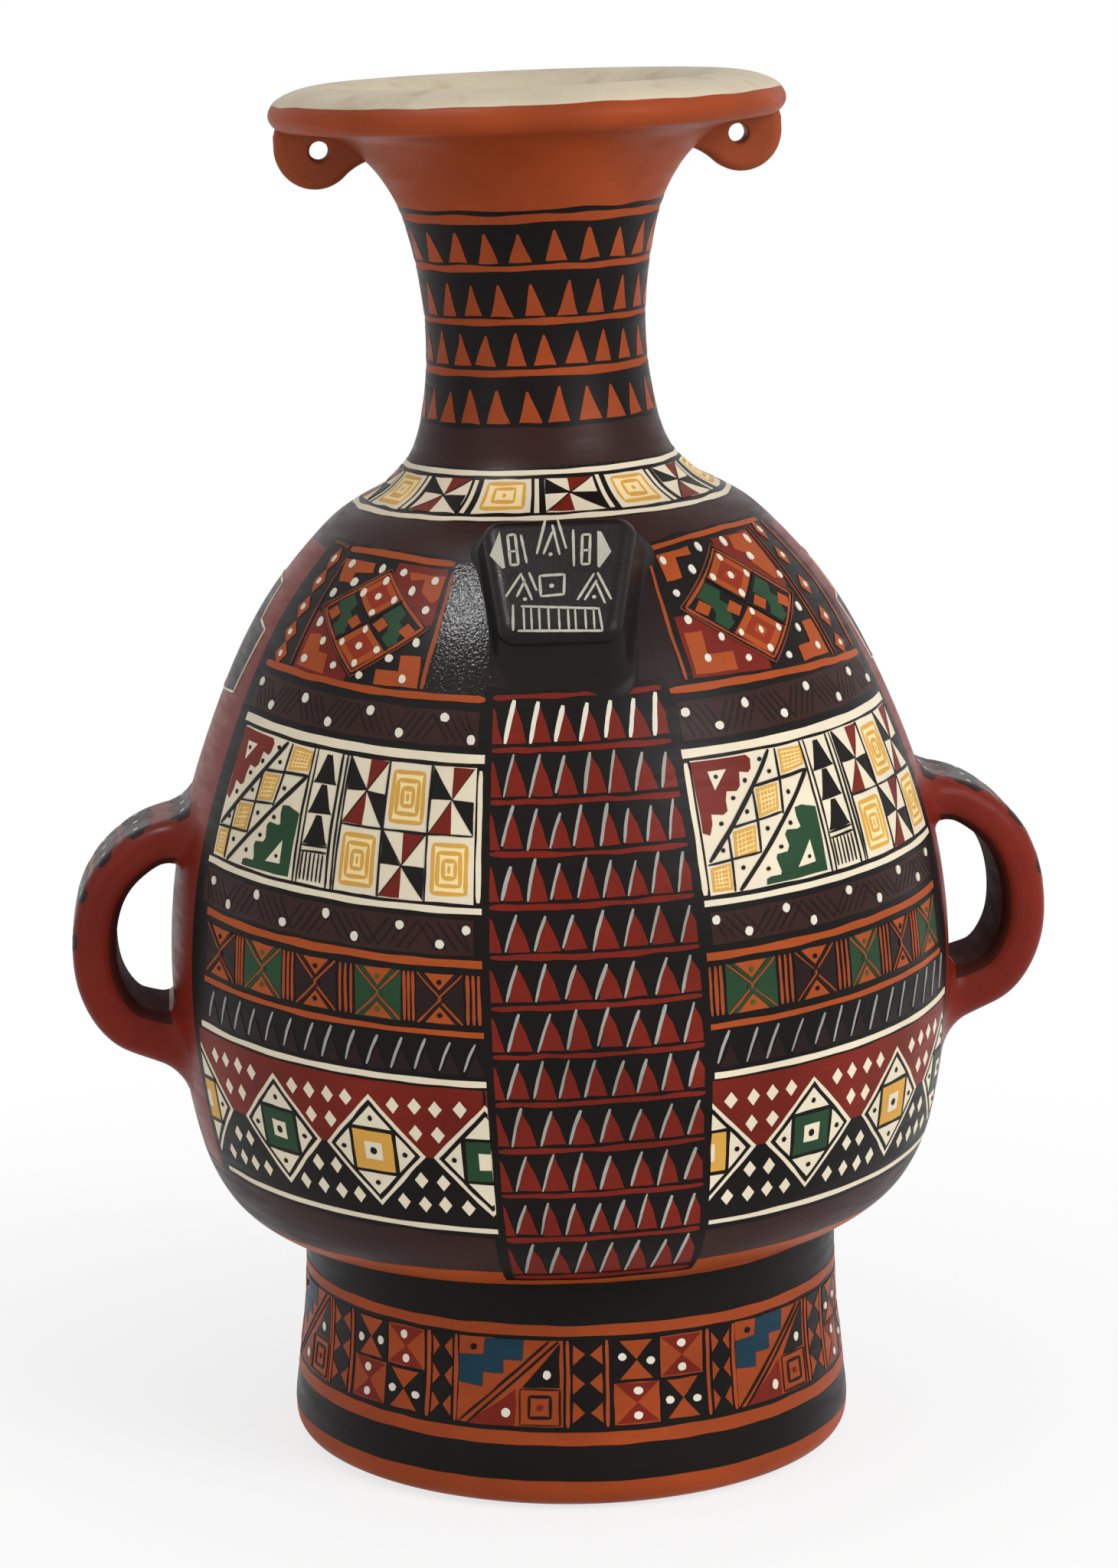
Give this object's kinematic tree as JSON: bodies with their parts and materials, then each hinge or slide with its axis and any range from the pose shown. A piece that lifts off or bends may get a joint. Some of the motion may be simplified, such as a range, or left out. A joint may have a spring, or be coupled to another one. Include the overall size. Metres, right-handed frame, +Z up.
{
  "type": "clay jar",
  "caption": "Painted clay jar with a round belly on a ring foot, a tall flaring neck with a rolled lip, strap handles, pierced ears and a carved nub on the shoulder.",
  "frame": {"origin": "on the table, under the middle of the overall width and depth of the jar", "axes": "+Z up; the nub faces -Y; the two handles lie along X; the jar leans slightly towards -X on its foot"},
  "size_m": [0.2508, 0.2012, 0.3528],
  "materials": {
    "black_slip": "burnished black-brown slip with painted bands",
    "red_slip": "burnished dark red slip",
    "maroon_slip": "burnished maroon slip with painted bands",
    "bare_clay": "smoothed terracotta",
    "cream_slip": "matt cream slip over terracotta",
    "brown_clay": "smoothed brown clay",
    "dark_slip": "burnished dark slip with white marks"
  },
  "bodies": {
    "root": {"foot_ring": "black_slip", "body_lower": "red_slip", "body_upper": "maroon_slip", "neck": "bare_clay", "lip": "cream_slip", "handle_right": "red_slip", "handle_left": "red_slip", "ear_right": "brown_clay", "ear_left": "brown_clay", "front_nub": "dark_slip"}
  },
  "joints": []
}
